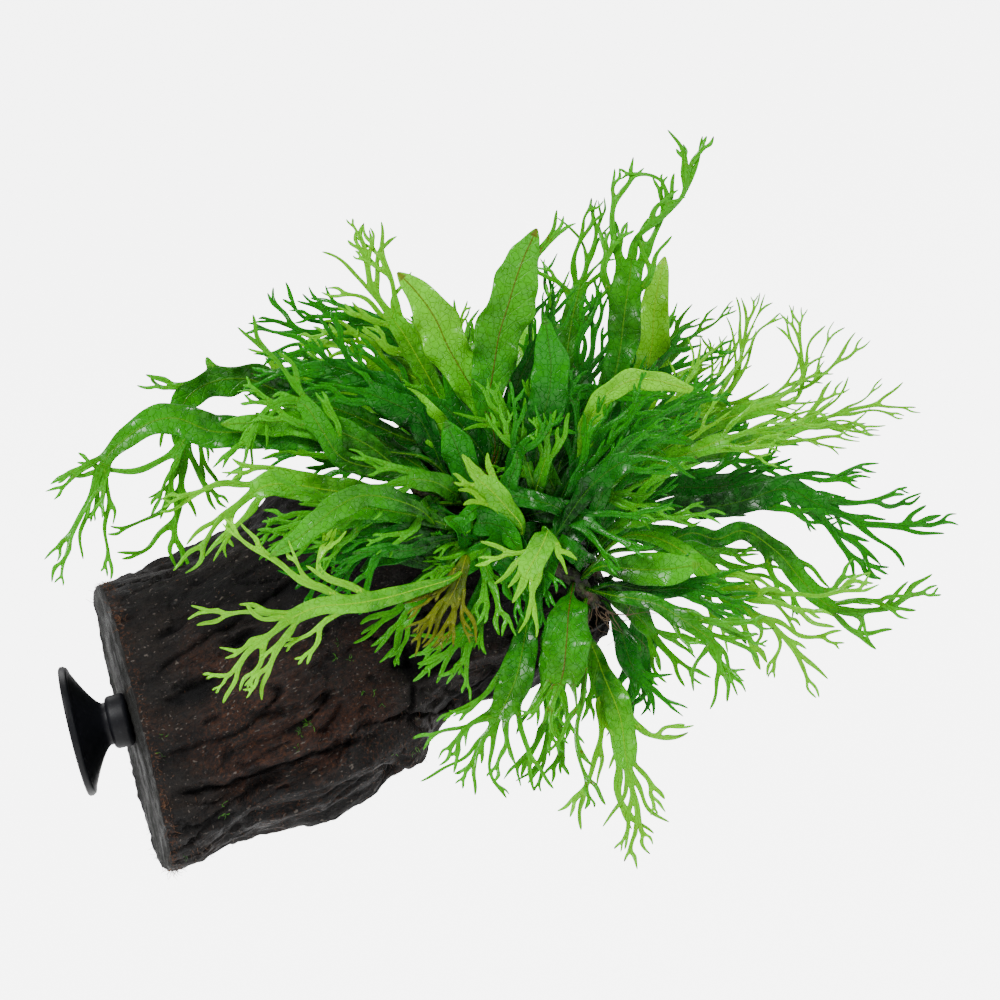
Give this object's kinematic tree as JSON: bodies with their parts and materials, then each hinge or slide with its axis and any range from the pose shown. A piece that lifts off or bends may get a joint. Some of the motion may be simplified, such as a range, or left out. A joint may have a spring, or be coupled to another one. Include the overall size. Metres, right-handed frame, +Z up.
{
  "type": "java fern on driftwood",
  "caption": "Lace-leaved water fern growing on a sawn chunk of dark driftwood, held on aquarium glass by a rubber suction cup.",
  "frame": {"origin": "centre of the suction cup's lip, in the plane of the glass", "axes": "+X from the glass along the cup's axis into the wood, +Z up, -Y towards the viewer of the long side"},
  "size_m": [0.223, 0.1135, 0.1604],
  "materials": {
    "driftwood": "wet, rough grain",
    "suction_cup": "satin moulded",
    "rhizome": "scaly",
    "roots": "fibrous",
    "leaf_deep": "glossy wet leaf",
    "leaf_mid": "glossy wet leaf",
    "leaf_bright": "glossy wet leaf",
    "leaf_pale": "glossy wet leaf"
  },
  "bodies": {
    "root": {"driftwood": "driftwood", "suction_cup": "suction_cup", "rhizome_top": "rhizome", "rhizome_front": "rhizome", "hair_roots": "roots", "leaf_top_1": "leaf_bright", "leaf_top_2": "leaf_mid", "leaf_top_3": "leaf_bright", "leaf_top_4": "leaf_mid", "leaf_top_5": "leaf_mid", "leaf_top_6": "leaf_pale", "leaf_top_7": "leaf_pale", "leaf_top_8": "leaf_deep", "leaf_top_9": "leaf_deep", "leaf_top_10": "leaf_deep", "leaf_left_1": "leaf_deep", "leaf_left_2": "leaf_bright", "leaf_left_3": "leaf_mid", "leaf_left_4": "leaf_pale", "leaf_left_5": "leaf_deep", "leaf_left_6": "leaf_mid", "leaf_left_7": "leaf_deep", "leaf_left_8": "leaf_bright", "leaf_left_9": "leaf_bright", "leaf_left_10": "leaf_deep", "leaf_front_1": "leaf_bright", "leaf_front_2": "leaf_deep", "leaf_front_3": "leaf_mid", "leaf_front_4": "leaf_mid", "leaf_front_5": "leaf_mid", "leaf_front_6": "leaf_bright", "leaf_front_7": "leaf_bright", "leaf_front_8": "leaf_deep", "leaf_right_1": "leaf_mid", "leaf_right_2": "leaf_mid", "leaf_right_3": "leaf_mid", "leaf_right_4": "leaf_mid", "leaf_right_5": "leaf_mid", "leaf_right_6": "leaf_deep", "leaf_right_7": "leaf_deep", "leaf_right_8": "leaf_mid", "leaf_right_9": "leaf_mid", "leaf_right_10": "leaf_deep", "leaf_right_11": "leaf_bright", "leaf_right_12": "leaf_mid", "leaf_right_13": "leaf_deep", "leaf_right_14": "leaf_mid", "leaf_low_1": "leaf_mid", "leaf_low_2": "leaf_mid", "leaf_low_3": "leaf_bright", "leaf_low_4": "leaf_deep", "leaf_low_5": "leaf_deep", "leaf_back_1": "leaf_mid", "leaf_back_2": "leaf_bright", "leaf_back_3": "leaf_mid", "leaf_back_4": "leaf_deep", "leaf_back_5": "leaf_mid", "leaf_back_6": "leaf_deep", "leaf_back_7": "leaf_mid"}
  },
  "joints": []
}
